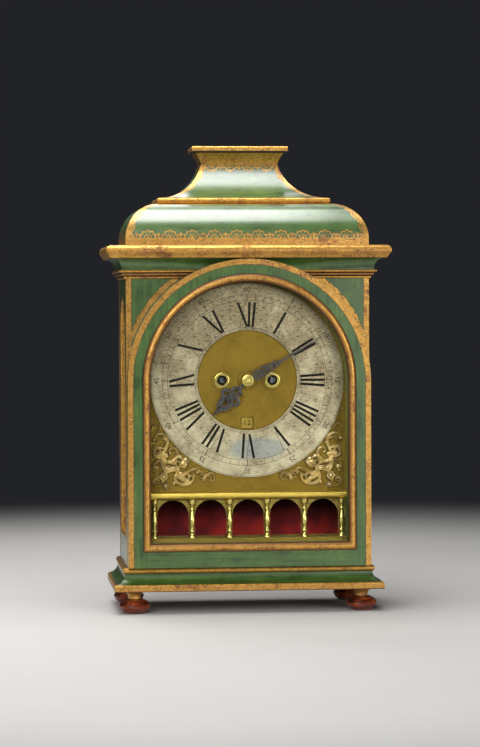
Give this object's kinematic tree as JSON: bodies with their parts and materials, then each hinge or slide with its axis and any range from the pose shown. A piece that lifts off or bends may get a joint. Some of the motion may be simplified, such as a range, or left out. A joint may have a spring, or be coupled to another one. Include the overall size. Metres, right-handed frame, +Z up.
{
  "type": "bracket clock",
  "caption": "Baroque bracket clock with a green and gilt bell-topped wooden case, hinged arched front door, brass dial with silvered ring, pierced hands and a striking pendulum movement.",
  "frame": {"origin": "on the resting plane under the feet, at the centre of the bounding box", "axes": "+Z up, -Y out of the front of the dial, +X to the right as seen from the front"},
  "size_m": [0.282, 0.144, 0.466],
  "materials": {
    "green_painted_wood": "green paint, aged and waxed",
    "gilt_wood": "water gilding over red bole, worn",
    "stained_wood": "red-brown stain, polished",
    "bare_wood": "oiled",
    "window_glass": "clear",
    "brass": "aged, lightly tarnished",
    "silvered_brass": "silvered, tarnished",
    "bell_metal": "turned",
    "blued_steel": "blued, darkened",
    "steel": "polished",
    "red_cloth": "dyed red"
  },
  "bodies": {
    "case": {"bun_feet": "stained_wood", "plinth_board": "gilt_wood", "plinth_cove": "green_painted_wood", "plinth_torus": "gilt_wood", "case_front": "green_painted_wood", "case_sides": "green_painted_wood", "side_window_beads": "gilt_wood", "side_window_glass": "window_glass", "case_rear_frame": "bare_wood", "cornice_reeds": "gilt_wood", "cornice_cove": "green_painted_wood", "cornice_corona": "gilt_wood", "bell_cushion": "green_painted_wood", "bell_fillet": "gilt_wood", "bell_cove": "green_painted_wood", "bell_cap": "gilt_wood", "front_hinge_case_leaves": "brass", "rear_hinge_case_leaves": "brass", "dial_plate": "brass", "chapter_ring": "silvered_brass", "winding_collets": "brass", "dial_spandrels": "brass", "gallery_rails": "brass", "gallery_arcade": "brass", "gallery_balusters": "brass", "stage_lining": "red_cloth", "movement_frame": "brass", "seat_board": "bare_wood", "back_cock": "brass", "strike_bell": "bell_metal"},
    "front_door": {"door_arch_head": "green_painted_wood", "door_stiles": "green_painted_wood", "door_bottom_rail": "green_painted_wood", "door_bead": "gilt_wood", "door_glass": "window_glass", "door_glazing_strip": "bare_wood", "front_hinge_door_leaves": "brass"},
    "rear_door": {"rear_door_frame": "bare_wood", "rear_door_glass": "window_glass", "rear_door_knob": "brass", "rear_hinge_door_leaves": "brass"},
    "minute_arbor": {"centre_wheel": "brass", "cannon_pinion": "steel", "minute_hand": "blued_steel", "hand_nut": "brass"},
    "hour_pipe": {"hour_wheel": "brass", "hour_hand": "blued_steel"},
    "motion_work": {"minute_wheel": "brass"},
    "date": {"date_ring": "silvered_brass"},
    "going_barrel": {"going_barrel": "brass"},
    "going_winding": {"going_winding_arbor": "steel"},
    "third_arbor": {"third_wheel": "brass"},
    "escape_arbor": {"escape_wheel": "brass"},
    "pendulum": {"pallet_anchor": "steel", "pendulum": "brass"},
    "strike_barrel": {"strike_barrel": "brass"},
    "strike_winding": {"strike_winding_arbor": "steel"},
    "pin_wheel": {"pin_wheel": "brass"},
    "fly": {"fly": "brass"},
    "hammer": {"strike_hammer": "steel"}
  },
  "joints": [
    {"name": "front_door_hinge", "type": "hinge", "parent": "case", "child": "front_door", "pos_m": [0.1205, -0.05215, 0.187], "axis": [0, 0, 1], "range_deg": [0, 100]},
    {"name": "rear_door_hinge", "type": "hinge", "parent": "case", "child": "rear_door", "pos_m": [0.0916, 0.069, 0.188], "axis": [0, 0, -1], "range_deg": [0, 90]},
    {"name": "minute_turn", "type": "hinge", "parent": "case", "child": "minute_arbor", "pos_m": [0, 0, 0.23], "axis": [0, 1, 0], "continuous": true},
    {"name": "hour_turn", "type": "hinge", "parent": "case", "child": "hour_pipe", "pos_m": [0, 0, 0.23], "axis": [0, 1, 0], "continuous": true},
    {"name": "motion_work_turn", "type": "hinge", "parent": "case", "child": "motion_work", "pos_m": [0, 0, 0.212], "axis": [0, 1, 0], "continuous": true},
    {"name": "date_turn", "type": "hinge", "parent": "case", "child": "date", "pos_m": [0, 0, 0.23], "axis": [0, 1, 0], "continuous": true},
    {"name": "going_barrel_turn", "type": "hinge", "parent": "case", "child": "going_barrel", "pos_m": [0.02525, 0, 0.23], "axis": [0, 1, 0], "continuous": true},
    {"name": "going_winding_turn", "type": "hinge", "parent": "case", "child": "going_winding", "pos_m": [0.02525, 0, 0.23], "axis": [0, 1, 0], "continuous": true},
    {"name": "third_turn", "type": "hinge", "parent": "case", "child": "third_arbor", "pos_m": [0.00837, 0, 0.24794], "axis": [0, 1, 0], "continuous": true},
    {"name": "escape_turn", "type": "hinge", "parent": "case", "child": "escape_arbor", "pos_m": [0, 0, 0.26405], "axis": [0, 1, 0], "continuous": true},
    {"name": "pendulum_swing", "type": "hinge", "parent": "case", "child": "pendulum", "pos_m": [0, 0, 0.28305], "axis": [0, 1, 0], "range_deg": [-5, 5]},
    {"name": "strike_barrel_turn", "type": "hinge", "parent": "case", "child": "strike_barrel", "pos_m": [-0.02525, 0, 0.23], "axis": [0, 1, 0], "continuous": true},
    {"name": "strike_winding_turn", "type": "hinge", "parent": "case", "child": "strike_winding", "pos_m": [-0.02525, 0, 0.23], "axis": [0, 1, 0], "continuous": true},
    {"name": "pin_wheel_turn", "type": "hinge", "parent": "case", "child": "pin_wheel", "pos_m": [-0.03305, 0, 0.25401], "axis": [0, 1, 0], "continuous": true},
    {"name": "fly_turn", "type": "hinge", "parent": "case", "child": "fly", "pos_m": [-0.027, 0, 0.27113], "axis": [0, 1, 0], "continuous": true},
    {"name": "hammer_lift", "type": "hinge", "parent": "case", "child": "hammer", "pos_m": [-0.043, 0, 0.276], "axis": [0, 1, 0], "range_deg": [-15, 0], "stiffness_Nm_per_rad": 0.02, "springref_deg": 5.73}
  ],
  "couplings": [
    {"joint": "hour_turn", "follows": "minute_turn", "ratio": 0.083333},
    {"joint": "motion_work_turn", "follows": "minute_turn", "ratio": -0.33333},
    {"joint": "date_turn", "follows": "minute_turn", "ratio": 0.0013441},
    {"joint": "going_barrel_turn", "follows": "minute_turn", "ratio": -0.14286},
    {"joint": "third_turn", "follows": "minute_turn", "ratio": -10},
    {"joint": "escape_turn", "follows": "minute_turn", "ratio": 100},
    {"joint": "pin_wheel_turn", "follows": "strike_barrel_turn", "ratio": -7},
    {"joint": "fly_turn", "follows": "strike_barrel_turn", "ratio": 70}
  ]
}
